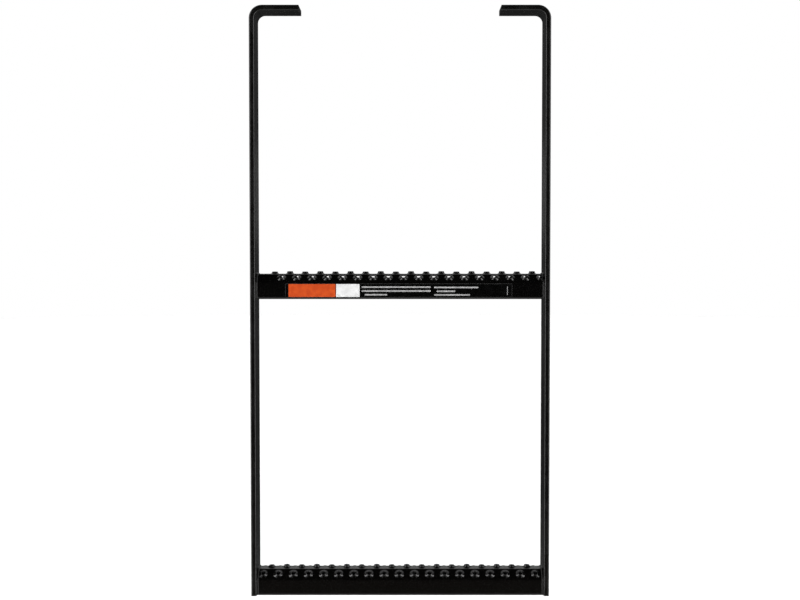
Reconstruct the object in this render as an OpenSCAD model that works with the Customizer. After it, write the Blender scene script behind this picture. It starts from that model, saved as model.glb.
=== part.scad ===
// Truck step: two bent flat-bar rails joined by two perforated anti-slip treads.
// It hangs from the flat tops of its two arms, and +Z is up.
// X runs across the step, -Y is the side that faces the climber.
// The origin is the middle of the left arm's flat top.

/* [Step] */
// Width over the outer faces of the two rails
step_w = 441.5; // [380:0.5:560]
// Height from the rail ends to the flat tops of the arms
step_h = 870.5; // [760:0.5:1000]

/* [Rails] */
// Thickness of the flat bar
bar_t = 7.94; // [6:0.01:10]
// Depth of the flat bar, front to back
bar_d = 50.8; // [50:0.1:64]
// Radius of the bar's rolled long edges
bar_edge_r = 2; // [1:0.1:2.8]
// Inside radius of the bend between rail and arm
bend_r = 11; // [8:0.5:18]
// Reach of an arm, from the rail's outer face to its cut tip
arm_l = 72.5; // [55:0.5:110]

/* [Rail holes] */
// Diameter of the small hole through each rail
hole_d = 6.4; // [4:0.1:10]
// Height of that hole above the rail's end
hole_up = 131; // [60:1:300]
// Distance from the rail's front edge back to the hole's centre
hole_back = 37; // [12:0.5:38]

/* [Treads] */
// Depth of a tread, front to back
tread_d = 46; // [44:0.1:48]
// Height of a tread's sheet, from its bottom edge to its flat crown
tread_h = 36.7; // [32:0.1:45]
// Depth of each sloping shoulder beside the crown, front to back
shoulder_d = 13.8; // [12:0.1:15]
// Drop of each shoulder from the crown to the flange
shoulder_h = 12; // [10:0.1:15]
// Thickness of the tread's sheet
sheet_t = 2.3; // [1.5:0.1:3]
// Inside radius of the tread's bends
sheet_bend_r = 1.3; // [1:0.1:2.5]
// Depth of the return lip under each flange
lip_d = 9; // [6:0.5:14]
// Height of the bottom tread's lower edge above the rail ends
bottom_up = 0; // [0:0.5:60]
// Rise from the bottom tread to the middle tread
tread_rise = 440.5; // [300:0.5:520]

/* [Raised holes] */
// Pitch of the raised holes along a row
hole_pitch = 22.5; // [19:0.1:30]
// Radius of a raised hole's bore
bore_r = 3; // [2:0.1:3.5]
// Outer radius of the rim round the bore
rim_r = 4.1; // [3.9:0.1:5]
// Radius at which a shoulder hole's flare meets the sheet
flare_foot_r = 8.3; // [7:0.1:9]
// Radius at which a crown hole's flare meets the sheet
crown_foot_r = 8; // [6.5:0.1:8.6]
// Height of the shoulder rims above the sheet
rim_h = 3; // [2:0.1:4]
// Height of the crown rims above the sheet
crown_rim_h = 3.4; // [2:0.1:4]
// Extra height of every second rim along the crown
rim_step = 0.5; // [0:0.1:1]
// Offset of the middle tread's crown row from the step's centre
middle_shift = -6.3; // [-11:0.1:11]
// Offset of the bottom tread's crown row from the step's centre
bottom_shift = -12.6; // [-13:0.1:11]
// Length left plain at the middle tread's left end
middle_plain = 12; // [0:0.5:60]
// Least sheet left between a bore and a tread's end
end_land = 1.5; // [1:0.1:10]

/* [Welds] */
// Width of a weld bead along the tread
bead_w = 3; // [2:0.1:4]
// Height of a weld bead off the tread's sheet
bead_h = 1.6; // [1:0.1:2.4]

/* [Label] */
// Length of the label strip on the middle tread
label_w = 334; // [200:1:400]
// Height of the label strip
label_h = 20.4; // [12:0.1:21]
// Thickness of the label strip
label_t = 0.4; // [0.3:0.1:1]
// Offset of the label's centre from the step's centre
label_shift = -2; // [-40:1:40]
// Height of the label's lower edge above the tread's lower edge
label_up = 2.6; // [2.6:0.1:8]

/* [Hidden] */
round_fn = 48;
small_fn = 32;
eps = 0.01;
left = -1;
right = 1;
steel = [0.05, 0.05, 0.055];
bead_steel = [0.09, 0.09, 0.095];
label_black = [0.02, 0.02, 0.02];

// Rails
bend_outer_r = bend_r + bar_t;
arm_flat = arm_l - bend_outer_r;
seat_x = step_w / 2 - bend_outer_r - arm_flat / 2;
rail_straight = step_h - bend_outer_r;
end_z = -step_h;

// Treads
tread_l = step_w - 2 * bar_t;
corner_r = sheet_bend_r + sheet_t;
bottom_z = end_z + bottom_up;
middle_z = bottom_z + tread_rise;
slope = atan2(shoulder_h, shoulder_d);
inner_shoulder_d = shoulder_d - sheet_t * (1 - tan(slope / 2));
inner_shoulder_h = shoulder_h - sheet_t * (1 - tan(45 - slope / 2));
shoulder_y = (tread_d - shoulder_d) / 2;
shoulder_z = tread_h - shoulder_h / 2;

// Raised holes
rim_t = rim_r - bore_r;
flare_sink = 0.1;
pocket_r = flare_foot_r - 1.4;
pocket_rise = rim_h * 0.55;
tallest_rim = max(rim_h, crown_rim_h + rim_step);
hole_run = ceil(tread_l / hole_pitch);
hole_ends = tread_l / 2 - bore_r - end_land;

// Welds
bead_gap = 0.05;
bead_steps = 4;
bend_steps = 3;
bead_foot = corner_r;

// One corner of an outline: its two tangent points and the centre of its arc
function unit(v) = v / norm(v);
function half_angle(a, p, b) = acos(unit(a - p) * unit(b - p)) / 2;
function arc_centre(a, p, b, r) =
    p + unit(unit(a - p) + unit(b - p)) * r / sin(half_angle(a, p, b));
function tangent(a, p, b, r) = p + unit(a - p) * r / tan(half_angle(a, p, b));

// A convex outline whose corners all have the radius r
module rounded(points, r) {
    n = len(points);
    polygon([
        for (i = [0 : n - 1])
            let (a = points[(i + n - 1) % n], p = points[i], b = points[(i + 1) % n])
            each [tangent(a, p, b, r), tangent(b, p, a, r)]
    ]);
    for (i = [0 : n - 1])
        translate(arc_centre(points[(i + n - 1) % n], points[i], points[(i + 1) % n], r))
            circle(r = r, $fn = round_fn);
}

// The flat bar's section: thickness along x, depth along y
module bar_section() {
    rounded([
        [0, -bar_d / 2], [bar_t, -bar_d / 2], [bar_t, bar_d / 2], [0, bar_d / 2]
    ], bar_edge_r);
}

// A rail and its arm, drawn for the right side with the outer face at x = step_w / 2
module bent_bar() {
    translate([step_w / 2 - bar_t, 0, end_z])
        linear_extrude(rail_straight)
            bar_section();
    translate([step_w / 2 - bend_outer_r, 0, -bend_outer_r])
        rotate([90, 0, 0])
            rotate_extrude(angle = 90, $fn = 96)
                translate([bend_r, 0])
                    bar_section();
    translate([step_w / 2 - bend_outer_r, 0, 0])
        rotate([0, -90, 0])
            translate([-bar_t, 0, 0])
                linear_extrude(arm_flat)
                    bar_section();
}

module rail(side) {
    mirror([side == left ? 1 : 0, 0, 0])
        difference() {
            bent_bar();
            translate([step_w / 2 - bar_t - 1, hole_back - bar_d / 2, end_z + hole_up])
                rotate([0, 90, 0])
                    cylinder(d = hole_d, h = bar_t + 2, $fn = round_fn);
        }
}

// Corners of the tread's outline at half depth y, with shoulders of depth d and drop h
function tread_outline(y, low, high, d, h) = [
    [-y, low], [-y, high - h], [-y + d, high], [y - d, high], [y, high - h], [y, low]
];
function outer_outline() = tread_outline(tread_d / 2, 0, tread_h, shoulder_d, shoulder_h);
function inner_outline() =
    tread_outline(
        tread_d / 2 - sheet_t, sheet_t, tread_h - sheet_t, inner_shoulder_d, inner_shoulder_h
    );

module tread_section() {
    difference() {
        rounded(outer_outline(), corner_r);
        rounded(inner_outline(), sheet_bend_r);
        translate([lip_d - tread_d / 2, -1])
            square([tread_d - 2 * lip_d, sheet_t + 2]);
    }
}

// Half section of a flared rim, with the sheet's outer face at height 0
module rim_profile(foot_r, height) {
    shaft = height - rim_t / 2;
    run = foot_r - rim_r;
    flare_r = (run * run + pow(shaft + flare_sink, 2)) / (2 * (shaft + flare_sink));
    difference() {
        translate([0, -sheet_t / 2])
            square([foot_r, sheet_t / 2 + shaft]);
        translate([foot_r, flare_r - flare_sink])
            circle(r = flare_r, $fn = round_fn);
    }
    translate([rim_r - rim_t / 2, shaft])
        circle(r = rim_t / 2, $fn = small_fn);
}

module flared_rim(foot_r, height) {
    rotate_extrude($fn = round_fn)
        rim_profile(foot_r, height);
}

// The bore and the hollow that the punch leaves under the rim
module punched_bore() {
    translate([0, 0, -sheet_t - 1])
        cylinder(r = bore_r, h = sheet_t + tallest_rim + 2, $fn = round_fn);
    translate([0, 0, -sheet_t - eps])
        cylinder(r1 = pocket_r, r2 = bore_r, h = sheet_t + pocket_rise, $fn = round_fn);
}

// Places along one row, counted from the tread's centre
function row_places(shift, offset, plain) = [
    for (k = [-hole_run : hole_run])
        let (x = shift + (k + offset) * hole_pitch)
        if (x < hole_ends && x > -hole_ends && x > plain + flare_foot_r - tread_l / 2)
            [x, k]
];

// Puts its children on the crown row, then on the front and rear shoulder rows
module on_crown(shift, plain) {
    for (place = row_places(shift, 0, plain))
        translate([place[0], 0, tread_h])
            children();
}

module on_shoulders(shift, plain) {
    for (place = row_places(shift, 0.5, plain))
        for (face = [-1, 1])
            translate([place[0], face * shoulder_y, shoulder_z])
                rotate([-face * slope, 0, 0])
                    children();
}

module crown_rims(shift, plain) {
    for (place = row_places(shift, 0, plain))
        translate([place[0], 0, tread_h])
            flared_rim(crown_foot_r, crown_rim_h + (place[1] % 2 == 0 ? 0 : rim_step));
}

// A tread with its lower edge at height 0
module tread(shift, plain) {
    difference() {
        union() {
            rotate([90, 0, 90])
                linear_extrude(tread_l, center = true)
                    tread_section();
            intersection() {
                union() {
                    crown_rims(shift, plain);
                    on_shoulders(shift, plain)
                        flared_rim(flare_foot_r, rim_h);
                }
                translate([-tread_l / 2, -tread_d, 0])
                    cube([tread_l, 2 * tread_d, 2 * tread_h]);
            }
        }
        on_crown(shift, plain)
            punched_bore();
        on_shoulders(shift, plain)
            punched_bore();
    }
}

// The tread's outline from the front foot over the crown to the rear foot, moved out by grow
function corner_arc(a, p, b, grow, from, to) = [
    for (i = [0 : bend_steps])
        let (angle = from + (to - from) * i / bend_steps)
        arc_centre(a, p, b, corner_r) + (corner_r + grow) * [cos(angle), sin(angle)]
];
function bead_path(grow) =
    let (o = outer_outline())
    concat(
        [[-tread_d / 2 - grow, bead_foot]],
        corner_arc(o[0], o[1], o[2], grow, 180, 90 + slope),
        corner_arc(o[1], o[2], o[3], grow, 90 + slope, 90),
        corner_arc(o[2], o[3], o[4], grow, 90, 90 - slope),
        corner_arc(o[3], o[4], o[5], grow, 90 - slope, 0),
        [[tread_d / 2 + grow, bead_foot]]
    );

// A bead's rings: the root corner first, then the rounded face from the rail to the sheet
function bead_rings() = concat(
    [[0, bead_gap]],
    [
        for (i = [0 : bead_steps])
            let (angle = 90 * i / bead_steps)
            [bead_w * sin(angle), bead_gap + bead_h * cos(angle)]
    ]
);

// A weld bead that follows the outline, with its flat side on the rail at x = 0
module bead() {
    rings = bead_rings();
    m = len(rings);
    n = len(bead_path(0));
    points = [
        for (ring = rings)
            let (path = bead_path(ring[1]))
            for (p = path)
                [ring[0], p[0], p[1]]
    ];
    sides = [
        for (j = [0 : m - 1])
            for (i = [0 : n - 2])
                let (next = (j + 1) % m)
                [j * n + i, j * n + i + 1, next * n + i + 1, next * n + i]
    ];
    front_cap = [for (j = [0 : m - 1]) j * n];
    rear_cap = [for (j = [m - 1 : -1 : 0]) j * n + n - 1];
    polyhedron(points, concat(sides, [front_cap, rear_cap]));
}

// The weld at one end of a tread, cut away where a flared rim stands in it
module weld(side, shift, plain) {
    difference() {
        translate([side * tread_l / 2, 0, 0])
            mirror([side == right ? 1 : 0, 0, 0])
                bead();
        on_shoulders(shift, plain)
            cylinder(r = flare_foot_r, h = rim_h, $fn = small_fn);
    }
}

module label_strip() {
    translate([label_shift - label_w / 2, -tread_d / 2 - label_t, label_up])
        cube([label_w, label_t, label_h]);
}

// Moves a piece drawn about the step's centre so that the left arm's seat is the origin
module from_seat(z) {
    translate([seat_x, 0, z])
        children();
}

module left_rail() {
    color(steel)
        from_seat(0)
            rail(left);
}

module right_rail() {
    color(steel)
        from_seat(0)
            rail(right);
}

module middle_tread() {
    color(steel)
        from_seat(middle_z)
            tread(middle_shift, middle_plain);
}

module bottom_tread() {
    color(steel)
        from_seat(bottom_z)
            tread(bottom_shift, 0);
}

module middle_left_weld() {
    color(bead_steel)
        from_seat(middle_z)
            weld(left, middle_shift, middle_plain);
}

module middle_right_weld() {
    color(bead_steel)
        from_seat(middle_z)
            weld(right, middle_shift, middle_plain);
}

module bottom_left_weld() {
    color(bead_steel)
        from_seat(bottom_z)
            weld(left, bottom_shift, 0);
}

module bottom_right_weld() {
    color(bead_steel)
        from_seat(bottom_z)
            weld(right, bottom_shift, 0);
}

module tread_label() {
    color(label_black)
        from_seat(middle_z)
            label_strip();
}

left_rail();
right_rail();
middle_tread();
bottom_tread();
middle_left_weld();
middle_right_weld();
bottom_left_weld();
bottom_right_weld();
tread_label();
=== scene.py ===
import math

import bmesh
import bpy
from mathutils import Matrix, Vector, noise


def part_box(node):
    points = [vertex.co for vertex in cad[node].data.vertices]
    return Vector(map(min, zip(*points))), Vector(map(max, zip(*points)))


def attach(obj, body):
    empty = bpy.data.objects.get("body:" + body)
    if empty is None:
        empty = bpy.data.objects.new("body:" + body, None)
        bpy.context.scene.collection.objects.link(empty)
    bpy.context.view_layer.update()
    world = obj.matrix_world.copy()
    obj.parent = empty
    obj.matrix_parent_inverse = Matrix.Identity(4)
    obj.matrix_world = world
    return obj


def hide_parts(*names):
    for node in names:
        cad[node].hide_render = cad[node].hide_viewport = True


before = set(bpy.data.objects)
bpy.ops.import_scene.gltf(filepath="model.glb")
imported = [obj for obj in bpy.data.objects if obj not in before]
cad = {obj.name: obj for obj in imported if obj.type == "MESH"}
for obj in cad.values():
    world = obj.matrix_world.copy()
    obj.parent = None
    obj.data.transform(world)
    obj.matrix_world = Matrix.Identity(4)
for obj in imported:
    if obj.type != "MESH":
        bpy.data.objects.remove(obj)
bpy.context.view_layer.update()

mm = 0.001
noiseMiddle = 0.5  # a noise texture's values lie round this
scene = bpy.context.scene
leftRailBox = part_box("left_rail")
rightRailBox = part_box("right_rail")
middleX = (leftRailBox[0].x + rightRailBox[1].x) / 2  # the step's middle plane
frontY = leftRailBox[0].y
endZ = leftRailBox[0].z  # the rails' lower ends


class Wire:  # a socket that numbers and other sockets can be worked with
    def __init__(self, graph, socket):
        self.graph = graph
        self.socket = socket

    def maths(self, operation, *values):
        sockets = dict(enumerate(values))
        return self.graph.add("ShaderNodeMath", {"operation": operation}, sockets)

    def __add__(self, other):
        return self.maths("ADD", self, other)

    def __radd__(self, other):
        return self.maths("ADD", other, self)

    def __sub__(self, other):
        return self.maths("SUBTRACT", self, other)

    def __rsub__(self, other):
        return self.maths("SUBTRACT", other, self)

    def __mul__(self, other):
        return self.maths("MULTIPLY", self, other)

    def __rmul__(self, other):
        return self.maths("MULTIPLY", other, self)

    def __abs__(self):
        return self.maths("ABSOLUTE", self)

    def highest(self, other):
        return self.maths("MAXIMUM", self, other)

    def ramp(self, band):  # 0 below the band, 1 above it, smooth between
        return self.graph.add(
            "ShaderNodeMapRange",
            {"interpolation_type": "SMOOTHSTEP"},
            {"Value": self, "From Min": band[0], "From Max": band[1]},
        )


class Graph:  # the nodes of one material or world
    def __init__(self, tree):
        self.tree = tree
        tree.nodes.clear()

    def add(self, kind, settings=None, sockets=None, out=0):
        node = self.tree.nodes.new(kind)
        for key, value in (settings or {}).items():
            setattr(node, key, value)
        for key, value in (sockets or {}).items():
            if isinstance(value, Wire):
                self.tree.links.new(value.socket, node.inputs[key])
            else:
                node.inputs[key].default_value = value
        return Wire(self, node.outputs[out]) if len(node.outputs) else node

    def part(self, vector, axis):
        return self.add("ShaderNodeSeparateXYZ", {}, {"Vector": vector}, axis)

    def blendColours(self, share, first, second):
        # the node's colours are its inputs 6 and 7 and its output 2
        return self.add(
            "ShaderNodeMix",
            {"data_type": "RGBA"},
            {0: share, 6: first, 7: second},
            2,
        )

    def grain(self, place, scale, detail):
        return self.add(
            "ShaderNodeTexNoise",
            {},
            {"Vector": place, "Scale": scale, "Detail": detail},
        )

    def bump(self, height, distance):
        return self.add(
            "ShaderNodeBump",
            {},
            {"Strength": 1.0, "Distance": distance, "Height": height},
        )


def newMaterial(name):
    material = bpy.data.materials.new(name)
    material.use_nodes = True
    return material, Graph(material.node_tree)


def grey(level, warmth=0.0):
    return (level * (1 + warmth), level, level * (1 - warmth), 1)


def finishMaterial(graph, sockets):
    shader = graph.add("ShaderNodeBsdfPrincipled", {}, sockets)
    graph.add("ShaderNodeOutputMaterial", {}, {"Surface": shader})


def showMesh(name, build, material):
    mesh = bpy.data.meshes.new(name)
    build.to_mesh(mesh)
    build.free()
    mesh.materials.append(material)
    item = bpy.data.objects.new(name, mesh)
    scene.collection.objects.link(item)
    return item


camera = {
    "lens": 54.82,
    "sensor": 36,
    "eyeRight": 11.7 * mm,  # of the middle plane
    "eyeUp": 528.8 * mm,  # above the rails' lower ends
    "eyeBack": 1788 * mm,  # in front of the rails' front edges
    "tiltDown": 2.0,
    "shiftX": -0.01,
    "shiftY": -0.0229,
    "nearest": 0.05,
    "furthest": 60,
}


def makeCamera():
    data = bpy.data.cameras.new("photoCamera")
    data.lens = camera["lens"]
    data.sensor_width = camera["sensor"]
    data.shift_x = camera["shiftX"]
    data.shift_y = camera["shiftY"]
    data.clip_start = camera["nearest"]
    data.clip_end = camera["furthest"]
    item = bpy.data.objects.new("photoCamera", data)
    item.location = (
        middleX + camera["eyeRight"],
        frontY - camera["eyeBack"],
        endZ + camera["eyeUp"],
    )
    item.rotation_euler = (math.radians(90 - camera["tiltDown"]), 0, 0)
    scene.collection.objects.link(item)
    scene.camera = item


makeCamera()
print("camera placed")


floorLook = {
    "drop": 0.45,  # below the rails' lower ends
    "radius": 14,
    "sides": 96,
    "shade": 0.9,
    "shadeSpread": 0.02,
    "cloudScale": 1.5,
    "cloudDetail": 2.0,
    "roughness": 0.9,
    "lamp": 3.2,  # the sun that lights the floor alone
    "lampAngle": 60,
}


def makeFloor():
    build = bmesh.new()
    bmesh.ops.create_circle(
        build, cap_ends=True, radius=floorLook["radius"], segments=floorLook["sides"]
    )
    centre = (middleX, 0, endZ - floorLook["drop"])
    bmesh.ops.translate(build, vec=centre, verts=build.verts)
    material, graph = newMaterial("paleFloor")
    place = graph.add("ShaderNodeTexCoord", {}, {}, "Object")
    cloud = graph.grain(place, floorLook["cloudScale"], floorLook["cloudDetail"])
    darkest = floorLook["shade"] - floorLook["shadeSpread"]
    lightest = floorLook["shade"] + floorLook["shadeSpread"]
    shade = graph.blendColours(cloud, grey(darkest), grey(lightest))
    finishMaterial(graph, {"Base Color": shade, "Roughness": floorLook["roughness"]})
    item = showMesh("floor", build, material)
    item.visible_glossy = False
    return item


room = {  # the camera sees a white backdrop, and the gloss a dark room with grey zones
    # a zone sets in over its Up, Back and Out bands and ends over its Top and Side ones
    "backdropLight": 1.0,
    "warmth": 0.14,  # of the dark and of the zone below it
    "floor": 0.60,
    "below": 0.10,
    "belowUp": (-0.60, -0.46),
    "dark": 0.010,  # in front of the step and over it
    "darkUp": (-0.315, -0.21),
    "behindLow": 0.11,
    "behind": 0.036,
    "behindUp": (-0.30, -0.23),
    "behindBack": (0.2, 0.6),
    "arms": 0.008,  # what the arms' undersides see
    "armsUp": (-0.225, -0.185),
    "armsTop": (-0.13, -0.085),
    "armsSide": (0.108, 0.122),
    "side": 0.22,
    "sideOut": (0.72, 0.95),
    "sideTop": (0.2, 0.55),
    "gap": 0.35,  # the bright foot of the backdrop
    "gapUp": (-0.01, 0.01),
    "gapTop": (0.06, 0.09),
    "gapBack": (0.5, 0.8),
    "gapSide": (0.075, 0.092),
    "backdrop": 0.65,  # the lit backdrop, which the gloss sees behind the step
    "backdropBack": (-0.1, 0.5),
    "backdropUp": (0.21, 0.31),
    "backdropTop": (0.75, 0.93),
}


def makeWorld():
    world = bpy.data.worlds.new("studioWorld")
    scene.world = world
    world.use_nodes = True
    graph = Graph(world.node_tree)
    direction = graph.add("ShaderNodeTexCoord", {}, {}, "Generated")
    side = abs(graph.part(direction, "X"))
    back = graph.part(direction, "Y")
    up = graph.part(direction, "Z")

    below = grey(room["below"], room["warmth"])
    dark = grey(room["dark"], room["warmth"])
    low = graph.blendColours(up.ramp(room["darkUp"]), below, dark)
    low = graph.blendColours(up.ramp(room["belowUp"]), grey(room["floor"]), low)

    behind = graph.blendColours(
        up.ramp(room["behindUp"]), grey(room["behindLow"]), grey(room["behind"])
    )
    underArms = up.ramp(room["armsUp"]) * (1 - up.ramp(room["armsTop"]))
    underArms = underArms * (1 - side.ramp(room["armsSide"]))
    behind = graph.blendColours(underArms, behind, grey(room["arms"]))
    zones = graph.blendColours(back.ramp(room["behindBack"]), low, behind)

    beside = side.ramp(room["sideOut"]) * (1 - abs(up).ramp(room["sideTop"]))
    zones = graph.blendColours(beside, zones, grey(room["side"]))
    gap = up.ramp(room["gapUp"]) * (1 - up.ramp(room["gapTop"]))
    gap = gap * back.ramp(room["gapBack"]) * (1 - side.ramp(room["gapSide"]))
    zones = graph.blendColours(gap, zones, grey(room["gap"]))
    lit = back.ramp(room["backdropBack"]) * up.ramp(room["backdropUp"])
    lit = lit * (1 - up.ramp(room["backdropTop"]))
    zones = graph.blendColours(lit, zones, grey(room["backdrop"]))

    toGloss = graph.add("ShaderNodeBackground", {}, {"Color": zones})
    toCamera = graph.add(
        "ShaderNodeBackground", {}, {"Color": grey(room["backdropLight"])}
    )
    isCamera = graph.add("ShaderNodeLightPath", {}, {}, "Is Camera Ray")
    mixed = graph.add(
        "ShaderNodeMixShader", {}, {0: isCamera, 1: toGloss, 2: toCamera}
    )
    graph.add("ShaderNodeOutputWorld", {}, {"Surface": mixed})


lightBoxes = {  # place and aim from the step's middle, width, height, power
    "leftBox": ((-1.35, -0.75, 0.15), (0, 0, 0), 0.65, 2.3, 22.0),
    "rightBox": ((1.35, -0.75, 0.15), (0, 0, 0), 0.65, 2.3, 22.0),
    "leftStrip": ((-0.85, -1.5, -0.2), (0, 0, -0.1), 0.12, 2.4, 2.2),
    "rightStrip": ((0.85, -1.5, -0.2), (0, 0, -0.1), 0.12, 2.4, 2.2),
}


def makeLights(floor):
    middle = Vector((middleX, 0, endZ / 2))
    for name, (place, aim, width, height, power) in lightBoxes.items():
        data = bpy.data.lights.new(name, "AREA")
        data.shape = "RECTANGLE"
        data.size = width
        data.size_y = height
        data.energy = power
        item = bpy.data.objects.new(name, data)
        item.location = middle + Vector(place)
        facing = Vector(aim) - Vector(place)
        item.rotation_euler = facing.to_track_quat("-Z", "Y").to_euler()
        item.visible_camera = False
        scene.collection.objects.link(item)
    data = bpy.data.lights.new("floorLight", "SUN")
    data.energy = floorLook["lamp"]
    data.angle = math.radians(floorLook["lampAngle"])
    item = bpy.data.objects.new("floorLight", data)
    scene.collection.objects.link(item)
    lit = bpy.data.collections.new("litByFloorLight")
    lit.objects.link(floor)
    item.light_linking.receiver_collection = lit


floor = makeFloor()
makeWorld()
makeLights(floor)
scene.view_settings.view_transform = "Standard"
scene.view_settings.look = "None"
print("studio lit")


coat = {  # what the powder coat has in common on bar, sheet and beads
    "index": 1.5,
    "warmth": 0.08,
    "cloudDetail": 3.0,
    "peelDetail": 2.0,
    "dustDetail": 1.0,
    "dustBand": (0.66, 0.74),
    "dustWarmth": 0.05,
    "dustRoughness": 0.15,
}


def powderCoat(name, look, wearMask):
    material, graph = newMaterial(name)
    place = graph.add("ShaderNodeTexCoord", {}, {}, "Object")
    cloud = graph.grain(place, look["cloudScale"], coat["cloudDetail"])
    peel = graph.grain(place, look["peelScale"], coat["peelDetail"])
    dust = graph.grain(place, look["dustScale"], coat["dustDetail"])
    dust = dust.ramp(coat["dustBand"])
    wear = wearMask(graph, place)
    light = grey(look["light"], coat["warmth"])
    dustColour = grey(look["dustShade"], coat["dustWarmth"])
    tint = graph.blendColours(cloud, grey(look["dark"]), light)
    tint = graph.blendColours(dust * look["dustShare"], tint, dustColour)
    tint = graph.blendColours(wear * look["wearShare"], tint, grey(look["wornShade"]))
    rough = look["roughness"] + (cloud - noiseMiddle) * look["roughSpread"]
    rough = rough + dust * coat["dustRoughness"] + wear * look["wornRoughness"]
    finishMaterial(graph, {
        "Base Color": tint,
        "Roughness": rough,
        "IOR": coat["index"],
        "Specular IOR Level": look["gloss"],
        "Coat Weight": look["coat"],
        "Coat Roughness": look["coatRoughness"],
        "Normal": graph.bump(peel, look["peelDepth"]),
    })
    return material


def rubbed(graph, place, look):
    grain = graph.grain(place, look["wearScale"], look["wearDetail"])
    return grain.ramp(look["wearBand"])


def dress(node, material):
    for materialSlot in cad[node].material_slots:
        materialSlot.material = material


railLook = {
    "dark": 0.001,
    "light": 0.003,
    "cloudScale": 22,
    "peelScale": 420,
    "peelDepth": 0.05 * mm,
    "dustScale": 900,
    "dustShare": 0.2,
    "dustShade": 0.05,
    "roughness": 0.20,
    "roughSpread": 0.14,
    "gloss": 0.4,
    "coat": 0.2,
    "coatRoughness": 0.06,
    "edgeBand": 2.6 * mm,  # width of the rolled edge that is rubbed
    "wearScale": 60,
    "wearDetail": 3.0,
    "wearBand": (0.42, 0.62),
    "wearShare": 0.3,
    "wornShade": 0.015,
    "wornRoughness": -0.06,
}


def railWear(graph, place):
    halfDepth = -frontY
    edgeBand = (halfDepth - railLook["edgeBand"], halfDepth)
    return abs(graph.part(place, "Y")).ramp(edgeBand) * rubbed(graph, place, railLook)


railCoat = powderCoat("railCoat", railLook, railWear)
for node in ("left_rail", "right_rail"):
    dress(node, railCoat)
print("rails coated")


section = {  # the treads' section, as it is built
    "depth": 46 * mm,
    "height": 36.7 * mm,
    "shoulderDepth": 13.8 * mm,
    "shoulderDrop": 12 * mm,
    "cornerRadius": 3.6 * mm,
}
slope = math.atan2(section["shoulderDrop"], section["shoulderDepth"])

treadLook = {
    "dark": 0.0005,
    "light": 0.0015,
    "cloudScale": 30,
    "peelScale": 480,
    "peelDepth": 0.04 * mm,
    "dustScale": 1000,
    "dustShare": 0.14,
    "dustShade": 0.05,
    "roughness": 0.17,
    "roughSpread": 0.12,
    "gloss": 0.4,
    "coat": 0.2,
    "coatRoughness": 0.06,
    "crownLip": (1.9 * mm, 3.3 * mm),  # heights over the sheet where the wear sets in
    "shoulderLip": (1.9 * mm, 2.9 * mm),
    "wearScale": 180,
    "wearDetail": 3.0,
    "wearBand": (0.30, 0.62),
    "wearShare": 0.8,
    "wornShade": 0.02,
    "wornRoughness": -0.05,
}


def treadWear(lowZ):
    crownZ = lowZ + section["height"]
    shoulderY = (section["depth"] - section["shoulderDepth"]) / 2
    shoulderZ = crownZ - section["shoulderDrop"] / 2

    def mask(graph, place):
        depth = abs(graph.part(place, "Y"))
        height = graph.part(place, "Z")
        crownLip = (height - crownZ).ramp(treadLook["crownLip"])
        outward = (depth - shoulderY) * math.sin(slope)
        upward = (height - shoulderZ) * math.cos(slope)
        shoulderLip = (outward + upward).ramp(treadLook["shoulderLip"])
        return crownLip.highest(shoulderLip) * rubbed(graph, place, treadLook)

    return mask


for node in ("middle_tread", "bottom_tread"):
    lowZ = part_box(node)[0].z
    treadCoat = powderCoat(node + "Coat", treadLook, treadWear(lowZ))
    dress(node, treadCoat)
print("treads coated")


weldLook = {
    "dark": 0.002,
    "light": 0.005,
    "cloudScale": 160,
    "peelScale": 700,
    "peelDepth": 0.05 * mm,
    "dustScale": 1200,
    "dustShare": 0.3,
    "dustShade": 0.05,
    "roughness": 0.30,
    "roughSpread": 0.16,
    "gloss": 0.3,
    "coat": 0.1,
    "coatRoughness": 0.06,
    "wearScale": 300,
    "wearDetail": 2.0,
    "wearBand": (0.45, 0.65),
    "wearShare": 0.3,
    "wornShade": 0.02,
    "wornRoughness": -0.05,
}

bead = {
    "width": 3.0 * mm,  # along the tread
    "height": 1.6 * mm,  # off the sheet
    "wander": 0.14,  # share by which the bead's size wanders
    "wanderScale": 160,
    "wanderApart": 7.3,  # between one bead's noise and the next one's
    "rippleStep": 1.5 * mm,
    "rippleDepth": 0.22 * mm,
    "rippleMean": 0.6,  # taken off its rise, so that the bead keeps its size
    "rippleBow": 0.9 * mm,  # by which a ripple is bowed between the bead's edges
    "rippleAtEdge": 0.4,  # share of its depth that is left there
    "jitter": 0.18,  # of a ripple's place
    "jitterScale": 400,
    "jitterApart": 3.1,
    "jitterLayer": 5,
    "endSize": 0.35,
    "endLength": 2.2 * mm,
    "step": 0.3 * mm,  # between the rings that make the mesh
    "samePoint": 1e-7,  # points nearer than this are one
    "facets": 10,
    "sunk": 0.25 * mm,  # into the rail and the sheet
    "footTurn": 38,  # degrees by which it turns under the flange
    "footSteps": 8,
    "cornerSteps": 6,  # at the least
}


def footPoints(half, radius):  # from under the front flange to where it is upright
    points = []
    for k in range(bead["footSteps"], 0, -1):
        angle = math.radians(180 + bead["footTurn"] * k / bead["footSteps"])
        inward = radius * (1 + math.cos(angle))
        points.append(Vector((-half + inward, radius * (1 + math.sin(angle)))))
    return points


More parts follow.
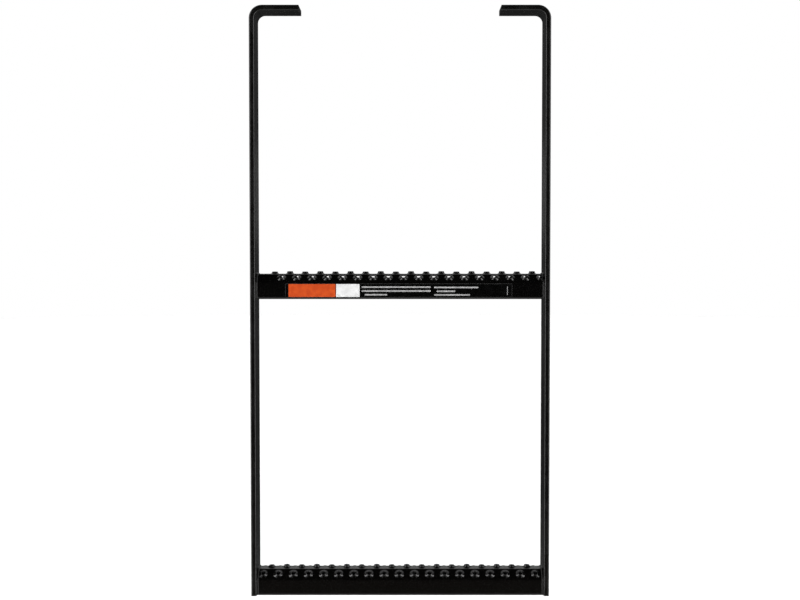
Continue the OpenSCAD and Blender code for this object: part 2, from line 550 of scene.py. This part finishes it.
def roundCorner(before, corner, after, radius):
    toBefore = (before - corner).normalized()
    toAfter = (after - corner).normalized()
    halfAngle = toBefore.angle(toAfter) / 2
    reach = radius / math.tan(halfAngle)
    inward = (toBefore + toAfter).normalized()
    centre = corner + inward * (radius / math.sin(halfAngle))
    start = corner + toBefore * reach - centre
    finish = corner + toAfter * reach - centre
    turn = start.angle(finish)
    steps = max(bead["cornerSteps"], int(turn * radius / bead["step"]))
    points = []
    for k in range(steps + 1):
        share = k / steps
        startWeight = math.sin((1 - share) * turn) / math.sin(turn)
        finishWeight = math.sin(share * turn) / math.sin(turn)
        points.append(centre + start * startWeight + finish * finishWeight)
    return points


def beadOutline():  # the tread's outline from the front foot to the rear one
    half = section["depth"] / 2
    high = section["height"]
    fall = section["shoulderDrop"]
    run = section["shoulderDepth"]
    radius = section["cornerRadius"]
    corners = [
        Vector((-half, radius)),
        Vector((-half, high - fall)),
        Vector((-half + run, high)),
        Vector((half - run, high)),
        Vector((half, high - fall)),
        Vector((half, radius)),
    ]
    front = footPoints(half, radius)
    rear = [Vector((-point.x, point.y)) for point in reversed(front)]
    bends = []
    for before, corner, after in zip(corners, corners[1:], corners[2:]):
        bends += roundCorner(before, corner, after, radius)
    return front + [corners[0]] + bends + [corners[-1]] + rear


def beadRoute():  # points one step apart over the outline, each with its normal
    outline = beadOutline()
    route = []
    carried = 0.0
    for first, second in zip(outline, outline[1:]):
        length = (second - first).length
        if length < bead["samePoint"]:
            continue
        along = (second - first) / length
        outward = Vector((-along.y, along.x))
        while carried < length:
            route.append((first + along * carried, outward))
            carried += bead["step"]
        carried -= length
    return route


def beadSize(distance, ending, seed):
    taper = min(1.0, bead["endSize"] + ending / bead["endLength"])
    spot = (distance * bead["wanderScale"], seed * bead["wanderApart"], 0)
    wander = 1 + bead["wander"] * noise.noise(Vector(spot))
    return math.sin(taper * math.pi / 2) * wander


def beadRing(distance, size, seed):
    # the sunk corner, the round face from the rail to the sheet, then the sunk toe
    facets = bead["facets"]
    depth = bead["rippleDepth"] / bead["height"]
    spot = (
        distance * bead["jitterScale"], seed * bead["jitterApart"], bead["jitterLayer"]
    )
    jitter = bead["jitter"] * noise.noise(Vector(spot))
    ring = [(-bead["sunk"], -bead["sunk"])]
    for k in range(facets + 1):
        angle = math.pi / 2 * k / facets
        bow = math.sin(2 * angle)
        phase = (distance + bow * bead["rippleBow"]) / bead["rippleStep"] + jitter
        crest = abs(math.sin(math.pi * phase)) - bead["rippleMean"]
        share = bead["rippleAtEdge"] + (1 - bead["rippleAtEdge"]) * bow
        swollen = size * (1 + crest * depth * share)
        along = bead["width"] * math.sin(angle) * swollen
        off = bead["height"] * math.cos(angle) * swollen
        if k == 0:
            along = -bead["sunk"]
        if k == facets:
            off = -bead["sunk"]
        ring.append((along, off))
    return ring


def loft(build, loops, closed):
    rings = [[build.verts.new(point) for point in loop] for loop in loops]
    count = len(rings[0])
    pairs = list(zip(rings, rings[1:]))
    if closed:
        pairs.append((rings[-1], rings[0]))
    for first, second in pairs:
        for k in range(count):
            following = (k + 1) % count
            build.faces.new((first[k], first[following], second[following], second[k]))
    if not closed:
        build.faces.new(rings[0])
        build.faces.new(list(reversed(rings[-1])))


def makeBead(name, node, side, treadBox, material, seed):
    rootX = treadBox[0].x if side == "left" else treadBox[1].x
    way = 1 if side == "left" else -1  # from the rail along the tread
    route = beadRoute()
    loops = []
    for index, (point, outward) in enumerate(route):
        distance = index * bead["step"]
        ending = min(index, len(route) - 1 - index) * bead["step"]
        size = beadSize(distance, ending, seed)
        loop = []
        for along, off in beadRing(distance, size, seed):
            flat = point + outward * off
            loop.append((rootX + way * along, flat.x, treadBox[0].z + flat.y))
        loops.append(loop)
    build = bmesh.new()
    loft(build, loops, False)
    bmesh.ops.recalc_face_normals(build, faces=build.faces)
    for face in build.faces:
        face.smooth = len(face.verts) == 4  # all but the flat ends
    item = showMesh(name, build, material)
    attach(item, "root")
    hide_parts(node)


def weldWear(graph, place):
    return rubbed(graph, place, weldLook)


weldCoat = powderCoat("weldCoat", weldLook, weldWear)
seed = 1
for tread in ("middle", "bottom"):
    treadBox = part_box(tread + "_tread")
    for side in ("left", "right"):
        node = tread + "_" + side + "_weld"
        name = tread + side.capitalize() + "Bead"
        makeBead(name, node, side, treadBox, weldCoat, seed)
        seed += 1
print("welds laid")


label = {  # all in plain mm, from the film's left end and lower edge
    "lineWidth": 0.35,
    "lineInset": 0.15,
    "lineRadius": 1.8,
    "inkDepth": 0.05,  # how far the print stands off the film
    "inkSunk": 0.05,
    "inkEase": 0.04,  # the bevel round a print's face
    "blockRadius": 0.5,
    "cornerFacets": 6,
    "warmBlock": (5.0, 74.0, 0.7, 19.7),  # left, right, lower edge, upper edge
    "paleBlock": (75.0, 109.5, 0.7, 19.7),
    "barHeight": 2.2,
    "bars": (  # left, right, lower edge
        (112.5, 214.0, 14.1),
        (112.5, 214.0, 8.4),
        (117.0, 150.0, 2.9),
        (219.0, 284.0, 13.6),
        (223.0, 250.0, 8.0),
        (219.0, 272.0, 2.6),
    ),
    "endMark": (326.5, 327.4, 3.5, 16.5),
}


def roundedOutline(x0, x1, z0, z1, radius):
    facets = label["cornerFacets"]
    points = []
    for centreX, centreZ, start in (
        (x1 - radius, z1 - radius, 0),
        (x0 + radius, z1 - radius, 90),
        (x0 + radius, z0 + radius, 180),
        (x1 - radius, z0 + radius, 270),
    ):
        for k in range(facets + 1):
            angle = math.radians(start + 90 * k / facets)
            x = centreX + radius * math.cos(angle)
            z = centreZ + radius * math.sin(angle)
            points.append((x, z))
    return points


def onFilm(film, outline, proud):
    y = film[0].y - proud * mm
    return [(film[0].x + x * mm, y, film[0].z + z * mm) for x, z in outline]


def inkPlates(film, boxes):
    build = bmesh.new()
    for x0, x1, z0, z1 in boxes:
        loops = []
        for inset, proud in (
            (0, -label["inkSunk"]),
            (0, label["inkDepth"] - label["inkEase"]),
            (label["inkEase"], label["inkDepth"]),
        ):
            radius = label["blockRadius"] - inset
            outline = roundedOutline(
                x0 + inset, x1 - inset, z0 + inset, z1 - inset, radius
            )
            loops.append(onFilm(film, outline, proud))
        loft(build, loops, False)
    return build


def inkFrame(film):
    wide = (film[1].x - film[0].x) / mm
    high = (film[1].z - film[0].z) / mm
    loops = []
    for step, proud in (
        (0, -label["inkSunk"]),
        (0, label["inkDepth"]),
        (label["lineWidth"], label["inkDepth"]),
        (label["lineWidth"], -label["inkSunk"]),
    ):
        edge = label["lineInset"] + step
        radius = label["lineRadius"] - step
        outline = roundedOutline(edge, wide - edge, edge, high - edge, radius)
        loops.append(onFilm(film, outline, proud))
    build = bmesh.new()
    loft(build, loops, True)
    return build


def labelPiece(name, build, material):
    bmesh.ops.recalc_face_normals(build, faces=build.faces)
    item = showMesh(name, build, material)
    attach(item, "root")


inks = {  # darkest and lightest colour, scale of the clouds between them, roughness
    "filmBlack": (grey(0.0008), grey(0.0018), 90, 0.17),
    "lineGrey": (grey(0.03), grey(0.05), 200, 0.4),
    "warmInk": ((0.45, 0.048, 0.004, 1), (0.53, 0.066, 0.006, 1), 120, 0.38),
    "paleInk": (grey(0.60), grey(0.70), 120, 0.4),
    "barInk": (grey(0.26), grey(0.36), 160, 0.4),
}

inkFinish = {  # what all the inks have in common
    "cloudDetail": 3.0,
    "cloudBand": (0.35, 0.65),
    "roughSpread": 0.10,
    "gloss": 0.3,
    "fineScale": 2500,
    "fineDetail": 1.0,
    "fineDepth": 0.01 * mm,
}


def printMaterial(name):
    darkest, lightest, scale, roughness = inks[name]
    material, graph = newMaterial(name)
    place = graph.add("ShaderNodeTexCoord", {}, {}, "Object")
    cloud = graph.grain(place, scale, inkFinish["cloudDetail"])
    fine = graph.grain(place, inkFinish["fineScale"], inkFinish["fineDetail"])
    share = cloud.ramp(inkFinish["cloudBand"])
    finishMaterial(graph, {
        "Base Color": graph.blendColours(share, darkest, lightest),
        "Roughness": roughness + (cloud - noiseMiddle) * inkFinish["roughSpread"],
        "Specular IOR Level": inkFinish["gloss"],
        "Normal": graph.bump(fine, inkFinish["fineDepth"]),
    })
    return material


dress("tread_label", printMaterial("filmBlack"))
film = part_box("tread_label")
lines = [
    (left, right, low, low + label["barHeight"]) for left, right, low in label["bars"]
]
lines.append(label["endMark"])
labelPiece("labelLine", inkFrame(film), printMaterial("lineGrey"))
labelPiece(
    "labelWarmBlock", inkPlates(film, [label["warmBlock"]]), printMaterial("warmInk")
)
labelPiece(
    "labelPaleBlock", inkPlates(film, [label["paleBlock"]]), printMaterial("paleInk")
)
labelPiece("labelBars", inkPlates(film, lines), printMaterial("barInk"))
print("label laid")
